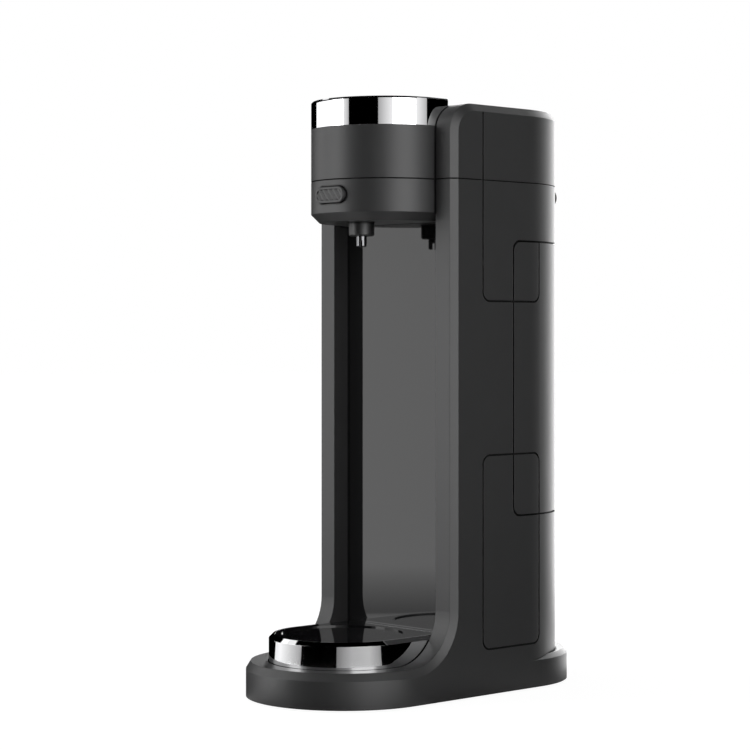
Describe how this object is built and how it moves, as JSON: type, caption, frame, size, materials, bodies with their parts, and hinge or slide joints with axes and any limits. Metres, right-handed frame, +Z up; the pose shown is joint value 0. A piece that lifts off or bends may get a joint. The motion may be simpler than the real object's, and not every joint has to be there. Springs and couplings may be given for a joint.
{
  "type": "electric wine aerator",
  "caption": "Free-standing electric wine aerator: plinth and column with an overhanging dispensing head, chrome band, nozzle, push button, lift-out drip tray and rear hose spigot.",
  "frame": {"origin": "on the table, under the middle of the plinth's straight part, on the face of the non-slip pad", "axes": "+Z up, -Y towards the front where the nozzle and the drip tray are, +X to the right seen from the front"},
  "size_m": [0.127, 0.2588, 0.3821],
  "materials": {
    "charcoal": "fine matte moulded charcoal",
    "gloss_panel": "mirror gloss smoked black",
    "chrome": "polished chrome plate",
    "gloss_black": "gloss black",
    "black_plastic": "satin black",
    "rubber": "matte black rubber",
    "steel": "zinc plated",
    "motor_can": "drawn steel can",
    "gear_resin": "natural resin",
    "switch_red": "satin red",
    "clear_resin": "frosted clear",
    "silicone": "translucent silicone",
    "cell_wrap": "shrink wrap",
    "circuit_board": "solder mask green",
    "lead_red": "insulated wire",
    "lead_blue": "insulated wire"
  },
  "bodies": {
    "frame": {"lower_body": "charcoal", "top_cover": "charcoal", "rear_cover": "charcoal", "head_lower": "charcoal", "head_upper": "charcoal", "mirror_panel": "gloss_panel", "chrome_band": "chrome", "nozzle_tip": "chrome", "head_lid": "gloss_black", "bottom_plate": "black_plastic", "nozzle_collar": "black_plastic", "nozzle_nut": "black_plastic", "inlet_spigot": "black_plastic", "switch_bracket": "black_plastic", "micro_switch": "black_plastic", "battery_holder": "black_plastic", "pump_housing": "black_plastic", "pump_cover": "black_plastic", "pump_shelf": "black_plastic", "base_pad": "rubber", "inlet_grommet": "rubber", "bottom_screws": "steel", "cover_screws": "steel", "neck_screws": "steel", "pump_screws": "steel", "shelf_screws": "steel", "wall_screws": "steel", "button_spring": "steel", "driven_pin": "steel", "charge_socket": "steel", "pump_motor": "motor_can", "aerator_chamber": "clear_resin", "air_valve": "clear_resin", "inlet_tube": "silicone", "outlet_tube": "silicone", "battery_cells": "cell_wrap", "control_board": "circuit_board", "charge_board": "circuit_board", "battery_lead": "lead_red", "motor_lead": "lead_red", "charge_lead": "lead_red", "switch_lead": "lead_blue"},
    "button": {"dispense_button": "charcoal"},
    "plunger": {"switch_plunger": "switch_red"},
    "pump_drive": {"drive_gear": "gear_resin", "motor_shaft": "steel"},
    "pump_driven": {"driven_gear": "gear_resin"},
    "tray": {"tray_ring": "chrome", "tray_plate": "gloss_black"}
  },
  "joints": [
    {"name": "button_press", "type": "slide", "parent": "frame", "child": "button", "axis": [0, 1, 0], "range_m": [0, 0.0015], "stiffness_N_per_m": 1200, "deforming": ["button_spring"]},
    {"name": "plunger_press", "type": "slide", "parent": "frame", "child": "plunger", "axis": [0, 1, 0], "range_m": [0, 0.0015]},
    {"name": "pump_spin", "type": "hinge", "parent": "frame", "child": "pump_drive", "pos_m": [-0.009, 0.033, 0.3269], "axis": [0, 0, 1], "continuous": true},
    {"name": "driven_spin", "type": "hinge", "parent": "frame", "child": "pump_driven", "pos_m": [0.009, 0.033, 0.3269], "axis": [0, 0, 1], "continuous": true},
    {"name": "tray_lift", "type": "slide", "parent": "frame", "child": "tray", "axis": [0, 0, 1], "range_m": [0, 0.04]}
  ],
  "couplings": [
    {"joint": "plunger_press", "follows": "button_press", "ratio": 1},
    {"joint": "driven_spin", "follows": "pump_spin", "ratio": -1}
  ]
}
